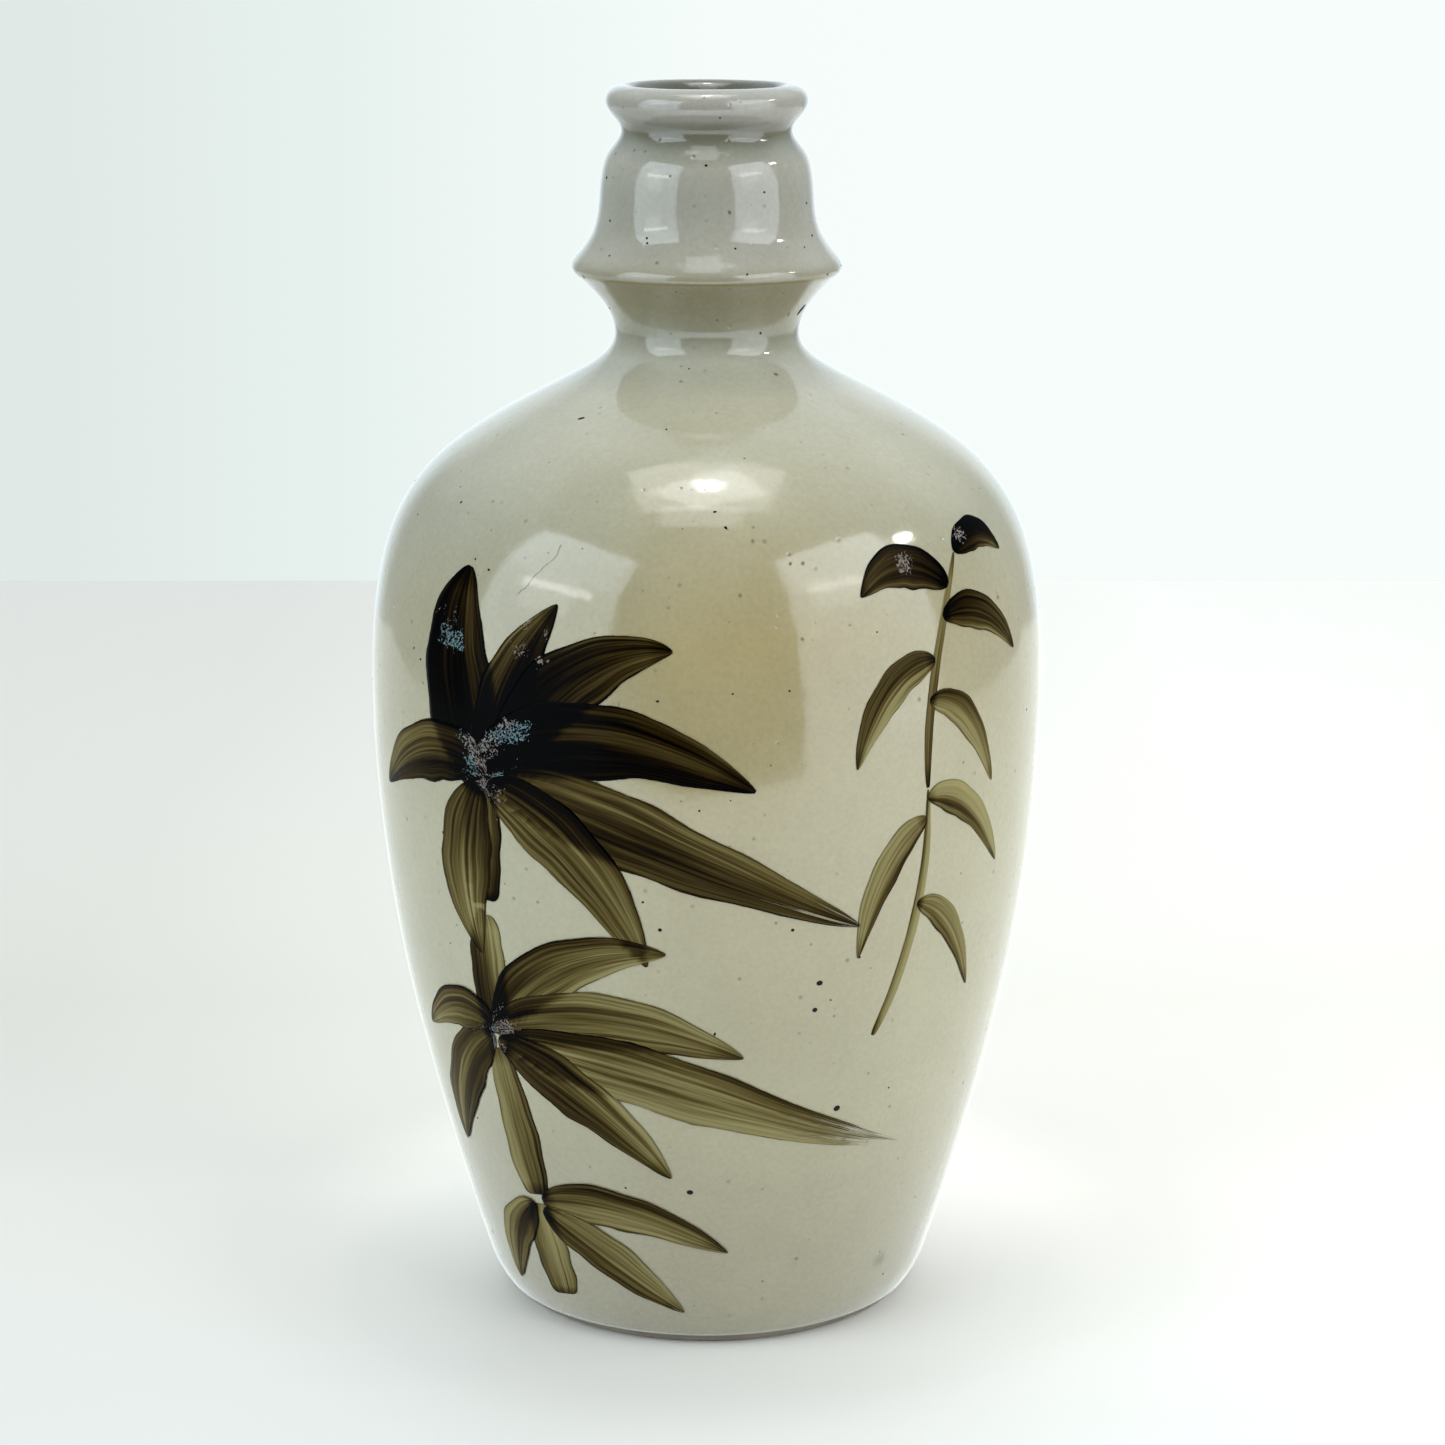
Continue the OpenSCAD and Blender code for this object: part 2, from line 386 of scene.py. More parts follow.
    # The glaze runs thin over the collar's edge and shows olive-brown
    from_edge = add(tree, "ShaderNodeMath", {0: height, 1: collar_edge[1]}, operation="SUBTRACT")
    near_edge = add(tree, "ShaderNodeMath", {0: from_edge.outputs[0]}, operation="ABSOLUTE")
    wavering = add(tree, "ShaderNodeMath", {0: cloud.outputs["Fac"], 1: 0.0009, 2: 0.00005},
                   operation="MULTIPLY_ADD")
    thin = add(tree, "ShaderNodeMapRange", {
        "Value": near_edge.outputs[0], "From Min": 0.0, "From Max": wavering.outputs[0],
        "To Min": 0.75, "To Max": 0.0,
    }, interpolation_type="SMOOTHSTEP")
    edged = add(tree, "ShaderNodeMix", {"Factor": thin.outputs[0], 6: soft.outputs[2], 7: tone("#6f6032")},
                data_type="RGBA", blend_type="MIX")

    # A brown smudge low on the right, where a finger or the kiln shelf touched the wet glaze
    mark = add(tree, "ShaderNodeVectorMath", {0: place, 1: SMUDGE}, operation="DISTANCE")
    blur = add(tree, "ShaderNodeMath", {0: cloud.outputs["Fac"], 1: 0.006, 2: mark.outputs["Value"]},
               operation="MULTIPLY_ADD")
    smudge = add(tree, "ShaderNodeMapRange", {
        "Value": blur.outputs[0], "From Min": 0.0028, "From Max": 0.0062, "To Min": 0.5, "To Max": 0.0,
    }, interpolation_type="SMOOTHSTEP")
    smudged = add(tree, "ShaderNodeMix", {"Factor": smudge.outputs[0], 6: edged.outputs[2],
                                          7: tone("#544c30")}, data_type="RGBA", blend_type="MIX")

    # A hairline crack on the left shoulder, 13 mm long, stained by years of handling
    from_end = add(tree, "ShaderNodeVectorMath", {0: place, 1: CRACK_END}, operation="SUBTRACT")
    run = add(tree, "ShaderNodeVectorMath", {0: from_end.outputs[0], 1: CRACK_ALONG}, operation="DOT_PRODUCT")
    aside = add(tree, "ShaderNodeVectorMath", {0: from_end.outputs[0], 1: CRACK_ASIDE}, operation="DOT_PRODUCT")
    kinks = add(tree, "ShaderNodeTexNoise", {"Vector": place, "Scale": 260.0, "Detail": 3.0})
    kinked = add(tree, "ShaderNodeMath", {0: kinks.outputs["Fac"], 1: 0.0024, 2: -0.0012},
                 operation="MULTIPLY_ADD")
    course = add(tree, "ShaderNodeMath", {0: aside.outputs["Value"], 1: kinked.outputs[0]}, operation="ADD")
    on_line = add(tree, "ShaderNodeMath", {0: course.outputs[0], 1: 0.0, 2: 0.00013}, operation="COMPARE")
    middle = add(tree, "ShaderNodeMath", {0: run.outputs["Value"], 1: CRACK_LENGTH / 2, 2: CRACK_LENGTH / 2},
                 operation="COMPARE")
    in_front = add(tree, "ShaderNodeMath", {0: axes.outputs["Y"], 1: 0.0}, operation="LESS_THAN")
    length = add(tree, "ShaderNodeMath", {0: on_line.outputs[0], 1: middle.outputs[0]}, operation="MULTIPLY")
    crack = add(tree, "ShaderNodeMath", {0: length.outputs[0], 1: in_front.outputs[0]}, operation="MULTIPLY")
    faint = add(tree, "ShaderNodeMath", {0: crack.outputs[0], 1: 0.65}, operation="MULTIPLY")
    cracked = add(tree, "ShaderNodeMix", {"Factor": faint.outputs[0], 6: smudged.outputs[2],
                                          7: tone("#2e2a20")}, data_type="RGBA", blend_type="MIX")

    # Fine iron specks, under a millimetre across and some 5 mm apart
    cells = add(tree, "ShaderNodeTexVoronoi", {"Vector": place, "Scale": 420.0, "Randomness": 1.0})
    chosen = add(tree, "ShaderNodeSeparateColor", {0: cells.outputs["Color"]})
    few = add(tree, "ShaderNodeMath", {0: chosen.outputs["Red"], 1: 0.80}, operation="GREATER_THAN")
    dot_size = add(tree, "ShaderNodeMath", {0: chosen.outputs["Green"], 1: 0.24, 2: 0.10},
                   operation="MULTIPLY_ADD")
    dot = add(tree, "ShaderNodeMapRange", {
        "Value": cells.outputs["Distance"], "From Min": 0.0, "From Max": dot_size.outputs[0],
        "To Min": 1.0, "To Max": 0.0,
    }, interpolation_type="SMOOTHSTEP")
    speck = add(tree, "ShaderNodeMath", {0: dot.outputs[0], 1: few.outputs[0]}, operation="MULTIPLY")
    strength = add(tree, "ShaderNodeMath", {0: speck.outputs[0], 1: chosen.outputs["Blue"]},
                   operation="MULTIPLY")
    specked = add(tree, "ShaderNodeMix", {"Factor": strength.outputs[0], 6: cracked.outputs[2],
                                          7: tone("#3a3226")}, data_type="RGBA", blend_type="MIX")
    fine = add(tree, "ShaderNodeMapRange", {
        "Value": grain.outputs["Fac"], "From Min": 0.3, "From Max": 0.7, "To Min": 0.94, "To Max": 1.04,
    })
    final = add(tree, "ShaderNodeMix", {"Factor": 1.0, 6: specked.outputs[2], 7: fine.outputs[0]},
                data_type="RGBA", blend_type="MULTIPLY")
    tree.links.new(final.outputs[2], shader.inputs["Base Color"])

    # Gloss, a little softer in places
    gloss = add(tree, "ShaderNodeMapRange", {
        "Value": cloud.outputs["Fac"], "From Min": 0.3, "From Max": 0.7, "To Min": 0.07, "To Max": 0.13,
    })
    tree.links.new(gloss.outputs[0], shader.inputs["Roughness"])
    shader.inputs["IOR"].default_value = 1.5

    # Orange-peel skin of the melted glaze, in ripples of 1 to 3 mm
    peel = add(tree, "ShaderNodeTexNoise", {"Vector": place, "Scale": 330.0, "Detail": 2.0, "Roughness": 0.5})
    skin = add(tree, "ShaderNodeBump", {"Strength": 0.10, "Distance": 0.0003, "Height": peel.outputs["Fac"]})
    # On the neck it ran down in fine curtains
    on_neck = add(tree, "ShaderNodeMapRange", {
        "Value": share.outputs[0], "From Min": 0.80, "From Max": 0.86, "To Min": 0.0, "To Max": 1.0,
    })
    drawn = add(tree, "ShaderNodeMapping", {"Vector": place, "Scale": (1.0, 1.0, 0.12)})
    curtain = add(tree, "ShaderNodeTexNoise", {"Vector": drawn.outputs[0], "Scale": 420.0, "Detail": 2.0})
    runny = add(tree, "ShaderNodeMath", {0: on_neck.outputs[0], 1: 0.14}, operation="MULTIPLY")
    curtained = add(tree, "ShaderNodeBump", {"Strength": runny.outputs[0], "Distance": 0.0003,
                                             "Height": curtain.outputs["Fac"], "Normal": skin.outputs[0]})
    # Each speck sits in a pinhole
    pits = add(tree, "ShaderNodeBump", {"Strength": 0.35, "Distance": 0.0002, "Height": speck.outputs[0],
                                        "Normal": curtained.outputs[0]}, invert=True)
    tree.links.new(pits.outputs[0], shader.inputs["Normal"])
    return material


def lining_glaze():
    """The same glaze poured thin inside: olive-grey and wetter looking, and painted dimmer as painted shade
    down in the dark.
    """
    material, tree, shader = new_material("poured_lining_glaze")
    place = add(tree, "ShaderNodeTexCoord").outputs["Object"]
    streaks = add(tree, "ShaderNodeMapping", {"Vector": place, "Scale": (1.0, 1.0, 0.25)})
    runs = add(tree, "ShaderNodeTexNoise", {"Vector": streaks.outputs[0], "Scale": 180.0, "Detail": 4.0})
    colour = ramp(tree, runs.outputs["Fac"], [
        (0.30, tone("#35322a")), (0.50, tone("#4b483c")), (0.70, tone("#5f5c4e")),
    ])
    tree.links.new(colour, shader.inputs["Base Color"])
    shader.inputs["Roughness"].default_value = 0.16
    bumps = add(tree, "ShaderNodeBump", {"Strength": 0.2, "Distance": 0.0004, "Height": runs.outputs["Fac"]})
    tree.links.new(bumps.outputs[0], shader.inputs["Normal"])
    return material


def bare_clay():
    """Grey-buff stoneware clay, fired hard and left bare: dry, sandy, toasted brown where the glaze ends."""
    material, tree, shader = new_material("bare_fired_stoneware")
    place = add(tree, "ShaderNodeTexCoord").outputs["Object"]
    axes = add(tree, "ShaderNodeSeparateXYZ", {0: place})
    blotch = add(tree, "ShaderNodeTexNoise", {"Vector": place, "Scale": 60.0, "Detail": 5.0})
    sand = add(tree, "ShaderNodeTexNoise", {"Vector": place, "Scale": 1600.0, "Detail": 3.0})
    grog = add(tree, "ShaderNodeTexVoronoi", {"Vector": place, "Scale": 500.0})
    colour = ramp(tree, blotch.outputs["Fac"], [
        (0.25, tone("#685d4c")), (0.50, tone("#857a67")), (0.75, tone("#9b9180")),
    ])
    toast = add(tree, "ShaderNodeMapRange", {
        "Value": axes.outputs["Z"], "From Min": 0.0, "From Max": 0.004, "To Min": 0.25, "To Max": 0.85,
    })
    toasted = add(tree, "ShaderNodeMix", {"Factor": toast.outputs[0], 6: colour, 7: tone("#433c31")},
                  data_type="RGBA", blend_type="MIX")
    tree.links.new(toasted.outputs[2], shader.inputs["Base Color"])
    shader.inputs["Roughness"].default_value = 0.85
    rough = add(tree, "ShaderNodeBump", {"Strength": 0.5, "Distance": 0.0002, "Height": sand.outputs["Fac"]})
    gritty = add(tree, "ShaderNodeBump", {"Strength": 0.3, "Distance": 0.0002,
                                          "Height": grog.outputs["Distance"], "Normal": rough.outputs[0]})
    tree.links.new(gritty.outputs[0], shader.inputs["Normal"])
    return material


def iron_wash():
    """Iron oxide brushed over the glaze and fired to a dry skin.

    A thin wash is a clear olive brown streaked by the brush hairs; a full brush and a crossing go almost
    black, and where the iron lies thickest it has crystallised into bluish and rosy silver flecks.
    """
    material, tree, shader = new_material("iron_oxide_brushwork")
    along = add(tree, "ShaderNodeUVMap", uv_map="stroke").outputs[0]
    load = add(tree, "ShaderNodeAttribute", attribute_name="load").outputs["Fac"]
    rim = add(tree, "ShaderNodeAttribute", attribute_name="rim").outputs["Fac"]
    dry = add(tree, "ShaderNodeAttribute", attribute_name="dry").outputs["Fac"]
    crust = add(tree, "ShaderNodeAttribute", attribute_name="crust").outputs["Fac"]

    # Brush hairs leave streaks about 0.8 mm apart that run 40 mm and more along the stroke
    hairs = add(tree, "ShaderNodeMapping", {"Vector": along, "Scale": (24.0, 1200.0, 1.0)})
    streak = add(tree, "ShaderNodeTexNoise", {"Vector": hairs.outputs[0], "Scale": 1.0, "Detail": 3.0,
                                              "Roughness": 0.6, "Distortion": 0.15}, noise_dimensions="2D")
    wide = add(tree, "ShaderNodeMapping", {"Vector": along, "Scale": (14.0, 230.0, 1.0)})
    band = add(tree, "ShaderNodeTexNoise", {"Vector": wide.outputs[0], "Scale": 1.0, "Detail": 1.0},
               noise_dimensions="2D")
    sharp = add(tree, "ShaderNodeMapping", {"Vector": along, "Scale": (11.0, 700.0, 1.0)})
    trail = add(tree, "ShaderNodeTexNoise", {"Vector": sharp.outputs[0], "Scale": 1.0, "Detail": 2.0},
                noise_dimensions="2D")
    pool = add(tree, "ShaderNodeTexNoise", {"Vector": along, "Scale": 110.0, "Detail": 3.0},
               noise_dimensions="2D")

    # How much iron lies at each point: streaks, broad bands, a few thin dark trails and a dark rim
    fine = add(tree, "ShaderNodeMath", {0: streak.outputs["Fac"], 1: 0.76, 2: -0.38}, operation="MULTIPLY_ADD")
    broad = add(tree, "ShaderNodeMath", {0: band.outputs["Fac"], 1: 0.7, 2: -0.35}, operation="MULTIPLY_ADD")
    both = add(tree, "ShaderNodeMath", {0: fine.outputs[0], 1: broad.outputs[0]}, operation="ADD")
    thread = add(tree, "ShaderNodeMapRange", {
        "Value": trail.outputs["Fac"], "From Min": 0.54, "From Max": 0.62, "To Min": 0.0, "To Max": 0.12,
    })
    threaded = add(tree, "ShaderNodeMath", {0: both.outputs[0], 1: thread.outputs[0]}, operation="ADD")
    line = add(tree, "ShaderNodeMapRange", {
        "Value": rim, "From Min": 0.86, "From Max": 0.94, "To Min": 0.0, "To Max": 0.20,
    })
    edged = add(tree, "ShaderNodeMath", {0: threaded.outputs[0], 1: line.outputs[0]}, operation="ADD")
    iron = add(tree, "ShaderNodeMath", {0: edged.outputs[0], 1: load}, operation="ADD", use_clamp=True)

    wash = ramp(tree, iron.outputs[0], [
        (0.00, tone("#837a52")), (0.20, tone("#746b46")), (0.36, tone("#5b502e")), (0.50, tone("#42371a")),
        (0.62, tone("#2f2510")), (0.74, tone("#1f1604")), (0.86, tone("#0b0602")), (1.00, tone("#010101")),
    ])

    # Crystals where the iron is thickest, a fraction of a millimetre each
    skin = add(tree, "ShaderNodeTexNoise", {"Vector": along, "Scale": 1900.0, "Detail": 2.0, "Distortion": 0.6},
               noise_dimensions="2D")
    patchy = add(tree, "ShaderNodeMath", {0: pool.outputs["Fac"], 1: 2.2, 2: -1.1}, operation="MULTIPLY_ADD")
    reach = add(tree, "ShaderNodeMath", {0: crust, 1: patchy.outputs[0]}, operation="ADD")
    crisp = add(tree, "ShaderNodeMapRange", {
        "Value": reach.outputs[0], "From Min": 0.30, "From Max": 0.80, "To Min": -0.45, "To Max": 0.02,
    })
    flecks = add(tree, "ShaderNodeMath", {0: skin.outputs["Fac"], 1: crisp.outputs[0]}, operation="ADD")
    silver = add(tree, "ShaderNodeMapRange", {
        "Value": flecks.outputs[0], "From Min": 0.52, "From Max": 0.55, "To Min": 0.0, "To Max": 1.0,
    })
    hue = add(tree, "ShaderNodeTexNoise", {"Vector": along, "Scale": 45.0}, noise_dimensions="2D")
    silver_colour = ramp(tree, hue.outputs["Fac"], [
        (0.42, tone("#56686b")), (0.46, tone("#6c6c6b")), (0.51, tone("#6c625b")),
    ])
    painted = add(tree, "ShaderNodeMix", {"Factor": silver.outputs[0], 6: wash, 7: silver_colour},
                  data_type="RGBA", blend_type="MIX")
    tree.links.new(painted.outputs[2], shader.inputs["Base Color"])

    # The edge is a little ragged, and a dry tail splits into hairs
    ragged = add(tree, "ShaderNodeMath", {0: pool.outputs["Fac"], 1: 0.14, 2: 0.89}, operation="MULTIPLY_ADD")
    inside = add(tree, "ShaderNodeMath", {0: ragged.outputs[0], 1: rim}, operation="GREATER_THAN")
    bald = add(tree, "ShaderNodeMath", {0: dry, 1: streak.outputs["Fac"]}, operation="LESS_THAN")
    kept = add(tree, "ShaderNodeMath", {0: inside.outputs[0], 1: bald.outputs[0]}, operation="MULTIPLY")
    tree.links.new(kept.outputs[0], shader.inputs["Alpha"])

    shader.inputs["Specular IOR Level"].default_value = 0.012
    gloss = add(tree, "ShaderNodeMapRange", {"Value": silver.outputs[0], "To Min": 0.22, "To Max": 0.5})
    tree.links.new(gloss.outputs[0], shader.inputs["Roughness"])
    relief = add(tree, "ShaderNodeBump", {"Strength": 0.2, "Distance": 0.0001, "Height": iron.outputs[0]})
    tree.links.new(relief.outputs[0], shader.inputs["Normal"])
    return material


def iron_speck():
    """Iron that boiled up through the glaze and froze as glossy black-brown beads."""
    material, tree, shader = new_material("melted_iron_speck")
    place = add(tree, "ShaderNodeTexCoord").outputs["Object"]
    noise = add(tree, "ShaderNodeTexNoise", {"Vector": place, "Scale": 900.0})
    colour = ramp(tree, noise.outputs["Fac"], [(0.35, tone("#0a0807")), (0.65, tone("#1d1813"))])
    tree.links.new(colour, shader.inputs["Base Color"])
    shader.inputs["Roughness"].default_value = 0.18
    shader.inputs["Specular IOR Level"].default_value = 0.06
    return material


# ---------------------------------------------------------------- pieces

def make_outer_glaze():
    """The glaze outside, with the collar's two sharp corners rounded into one soft rim."""
    collar = (collar_edge[1] - 5 * MM, collar_rim[1] + 6 * MM)
    swelled = [
        (p[0] + 0.7 * MM, p[1]) if collar_edge[1] - NEAR < p[1] < collar_rim[1] + NEAR else p for p in outside
    ]
    line = ease(finer(swelled + mouth, *collar, 0.5 * MM), *collar, 18)
    piece = lathe("outer_glaze_coat", line)
    apply(piece, "SUBSURF", levels=1, render_levels=1)
    hand_made(piece, "uneven_wall", "CLOUDS", 0.03, 0.35 * MM)
    apply(piece, "SOLIDIFY", thickness=0.8 * glaze_thickness, offset=-1.0)
    return finish_piece(piece, ash_glaze(), ["outer_glaze"])


def make_inner_glaze():
    """The lining, from the mouth down to the floor inside."""
    floor_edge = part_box("inner_glaze")[0].z
    line = inner_line("inner_glaze", floor_edge + 0.3 * MM, bore_top)
    line.append((0.0, line[-1][1]))
    piece = lathe("inner_glaze_coat", line)
    start_fresh()
    piece.select_set(True)
    bpy.context.view_layer.objects.active = piece
    bpy.ops.object.mode_set(mode="EDIT")
    bpy.ops.mesh.select_all(action="SELECT")
    bpy.ops.mesh.flip_normals()
    bpy.ops.object.mode_set(mode="OBJECT")
    apply(piece, "SUBSURF", levels=1, render_levels=1)
    apply(piece, "SOLIDIFY", thickness=0.8 * glaze_thickness, offset=-1.0)
    return finish_piece(piece, lining_glaze(), ["inner_glaze"])


BASE_RINGS = 44
WIRE_GAP = 3.4 * MM
HALF_RIDGE = 0.12 * MM
RIM_WIDTH = 2 * MM


def make_lower_body():
    """The lower clay section, whose bare base keeps the marks of the cutting wire."""
    outer = outer_line("lower_body")
    inner = inner_line("lower_body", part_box("inner_glaze")[0].z, belly_height)
    foot = outer[0][0]
    base = [(foot * i / BASE_RINGS, 0.0) for i in range(BASE_RINGS)]
    line = base + outer + inner + [(0.0, inner[-1][1])]
    piece = lathe("lower_body_clay", thin_out(line, NEAR), 144)
    # The wire was drawn through from one side, so its ridges lie in arcs round a point past the edge
    start = Vector((-2.2 * foot, 0.4 * foot))
    for v in piece.data.vertices:
        from_rim = foot - RIM_WIDTH - v.co.xy.length
        if v.co.z < NEAR / 10 and from_rim > 0:
            arc = (v.co.xy - start).length
            fade = min(1.0, from_rim / (4 * MM))
            ripple = math.sin(math.tau * arc / WIRE_GAP + 0.8 * math.sin(arc * 160))
            v.co.z = HALF_RIDGE * fade * (1 + ripple)
    return finish_piece(piece, bare_clay(), ["lower_body"])


outer_glaze = make_outer_glaze()
inner_glaze = make_inner_glaze()
lower_body = make_lower_body()
clay = bpy.data.materials["bare_fired_stoneware"]
for name in ("shoulder", "neck"):
    nodes[name].data.materials.clear()
    nodes[name].data.materials.append(clay)


# ---------------------------------------------------------------- brushwork

# Each stroke: where the brush is set down, the point that pulls it into a bend, where it is lifted,
# its greatest width in millimetres, how blunt its ends are, how full the brush is, and how dry its tail
BAMBOO = [
    [(-19, 9), (-21, 19), (-23, 31), 8, 0.25, 0.35, 0.0],
    [(-23, 33), (-26, 49), (-29, 67), 8, 0.25, 0.40, 0.0],
    [(-29, 70), (-30, 84), (-30, 97), 8.5, 0.25, 0.45, 0.0],
    [(-30, 100), (-30, 113), (-29, 126), 9, 0.25, 0.55, 0.0],
    [(-27, 124), (-40, 146), (-33, 168), 17, 0.6, 1.00, 0.0],
    [(-28, 126), (-26, 146), (-12, 163), 11, 0.7, 0.95, 0.0],
    [(-26, 127), (-10, 156), (12, 155), 13, 0.7, 0.90, 0.0],
    [(-30, 128), (-6, 146), (28, 127), 15, 0.7, 0.95, 0.2],
    [(-28, 127), (-44, 136), (-57, 118), 12, 0.7, 0.70, 0.1],
    [(-27, 126), (4, 122), (46, 97), 14, 0.7, 0.62, 0.3],
    [(-28, 125), (-6, 118), (6, 90), 13, 0.7, 0.45, 0.2],
    [(-30, 125), (-38, 108), (-31, 88), 12, 0.7, 0.40, 0.2],
    [(-29, 72), (-16, 94), (10, 93), 11, 0.7, 0.40, 0.2],
    [(-30, 71), (-4, 84), (24, 70), 12, 0.7, 0.40, 0.2],
    [(-28, 69), (8, 70), (50, 45), 13, 0.7, 0.29, 0.4],
    [(-29, 69), (-8, 62), (8, 42), 11, 0.7, 0.45, 0.2],
    [(-30, 70), (-42, 62), (-42, 40), 10, 0.7, 0.50, 0.1],
    [(-30, 72), (-40, 78), (-49, 66), 9, 0.7, 0.55, 0.1],
    [(-22, 32), (-4, 38), (18, 24), 9, 0.7, 0.40, 0.3],
    [(-22, 30), (-6, 22), (8, 9), 9, 0.7, 0.30, 0.3],
    [(-24, 31), (-32, 24), (-31, 9), 8, 0.7, 0.40, 0.2],
]
SPRIG = [
    [(-12, 72), (-2, 96), (-4, 124), 2.2, 0.4, 0.30, 0.0],
    [(-4, 124), (-6, 150), (8, 170), 2.0, 0.4, 0.45, 0.0],
    [(8, 170), (18, 176), (25, 168), 6, 0.7, 0.85, 0.0],
    [(4, 164), (-8, 174), (-18, 164), 8, 0.7, 0.75, 0.0],
    [(1, 158), (14, 162), (25, 148), 7, 0.7, 0.65, 0.1],
    [(-2, 150), (-16, 150), (-21, 130), 7, 0.7, 0.45, 0.1],
    [(-4, 142), (8, 142), (16, 122), 6, 0.7, 0.35, 0.2],
    [(-4, 122), (8, 124), (20, 104), 6.5, 0.7, 0.30, 0.2],
    [(-4, 118), (-16, 112), (-18, 90), 6, 0.7, 0.35, 0.2],
    [(-5, 100), (6, 98), (14, 78), 5.5, 0.7, 0.30, 0.2],
]
# Where the iron has crystallised: a centre and how far it spreads
BAMBOO_CRUSTS = [((-28, 127), 12), ((-20, 136), 8), ((-37, 154), 8), ((-17, 156), 7), ((-29, 71), 10)]
SPRIG_CRUSTS = [((13, 172), 5), ((-7, 169), 6)]
BAMBOO_TURN = math.radians(-15)
SPRIG_TURN = math.radians(42)
# How finely a stroke is divided, and how soon in its run the brush spreads widest
ALONG = 72
ACROSS = 16
EARLY = 0.75
SOFT_EDGE = 1.4 * MM


def bend(stroke, t):
    """A place along a stroke's middle line, and the unit direction across it."""
    start, pull, end = (Vector(p) * MM for p in stroke[:3])
    place = start * (1 - t) ** 2 + pull * 2 * t * (1 - t) + end * t * t
    heading = (pull - start) * (1 - t) + (end - pull) * t
    heading.normalize()
    return place, Vector((-heading.y, heading.x))


def press(stroke, t):
    """Half of a stroke's width: the brush spreads a little past the width it is given."""
    return 0.56 * stroke[3] * MM * math.sin(math.pi * t ** EARLY) ** stroke[4]


def stations(stroke):
    """Places down a stroke's middle, each with the direction across it and half its width there."""
    return [(*bend(stroke, i / 24), press(stroke, i / 24)) for i in range(1, 24)]


def covered(painted_before, spot):
    """How many of the strokes already painted lie under a spot, less than one at a stroke's edge."""
    count = 0.0
    for stroke in painted_before:
        for place, across, half in stroke:
            away = spot - place
            ahead = away.dot(Vector((across.y, -across.x)))
            inward = half - abs(away.dot(across))
            if abs(ahead) < 2 * MM and inward > 0:
                count += min(1.0, inward / SOFT_EDGE)
                break
    return count


def paint(name, stroke, turn, order, node, crusts, earlier):
    """One brush stroke: a flat strip drawn facing the viewer, laid on the glaze and given its thickness."""
    width, full, tail = stroke[3], stroke[5], stroke[6]
    start_fresh()
    bpy.ops.mesh.primitive_grid_add(x_subdivisions=ALONG, y_subdivisions=ACROSS, size=1, calc_uvs=True)
    piece = bpy.context.object
    piece.name = piece.data.name = name
    mesh = piece.data
    mesh.uv_layers[0].name = "stroke"
    names = ("load", "rim", "dry", "crust")
    for label in names:
        mesh.attributes.new(label, "FLOAT", "POINT")
    load, rim, dry, crust = (mesh.attributes[label].data for label in names)
    length = sum((bend(stroke, (i + 1) / 20)[0] - bend(stroke, i / 20)[0]).length for i in range(20))
    for loop in mesh.loops:
        co = mesh.vertices[loop.vertex_index].co
        u = (co.x + 0.5) * length + order * 0.37
        mesh.uv_layers[0].data[loop.index].uv = (u, co.y * width * MM + order * 0.11)
    for v in mesh.vertices:
        side = 2 * v.co.y
        t = 0.004 + 0.992 * (v.co.x + 0.5)
        place, across = bend(stroke, t)
        half = press(stroke, t)
        # The brush wavers a little, and the wash gathers to one side, at both ends and where strokes cross
        half *= 1 + 0.05 * math.sin(9 * t + 2.3 * order + side) + 0.03 * math.sin(23 * t + 1.7 * order - side)
        spot = place + across * side * half
        slant = 0.16 * side * (1 if order % 2 else -1)
        tide = 0.25 * max(0, t - 0.88) / 0.12 + 0.3 * max(0, 0.10 - t) / 0.10
        under = 0.28 * covered(earlier, spot)
        load[v.index].value = full * (1.15 - 0.45 * t) + slant + tide + under
        crust[v.index].value = max(
            1 - (spot - Vector(centre) * MM).length / (reach * MM) for centre, reach in crusts
        )
        rim[v.index].value = abs(side)
        dry[v.index].value = tail * max(0.0, t - 0.45) / 0.55 * 1.6
        v.co = Vector((spot.x, spot.y, 0))
    piece.rotation_euler = (math.pi / 2, 0, turn)
    piece.location = Vector((math.sin(turn), -math.cos(turn), 0)) * (belly_radius + 0.02)
    lift = (0.05 + 0.012 * order) * MM
    apply(piece, "SHRINKWRAP", target=outer_glaze, wrap_method="PROJECT", wrap_mode="ABOVE_SURFACE",
          use_project_z=True, use_negative_direction=True, use_positive_direction=False, offset=lift)
    bpy.ops.object.transform_apply(location=True, rotation=True, scale=True)
    apply(piece, "SOLIDIFY", thickness=0.04 * MM, offset=0.0)
    bpy.ops.object.shade_smooth()
    return finish_piece(piece, iron, [node])


def paint_plant(plant, strokes, turn, crusts):
    """Paints a plant stroke by stroke, each over the ones before it."""
    earlier = []
    for number, stroke in enumerate(strokes, 1):
        paint(f"{plant}_stroke_{number:02d}", stroke, turn, number, f"{plant}_brushwork", crusts, earlier)
        earlier.append(stations(stroke))


iron = iron_wash()
paint_plant("bamboo", BAMBOO, BAMBOO_TURN, BAMBOO_CRUSTS)
paint_plant("sprig", SPRIG, SPRIG_TURN, SPRIG_CRUSTS)


# ---------------------------------------------------------------- iron specks in the glaze

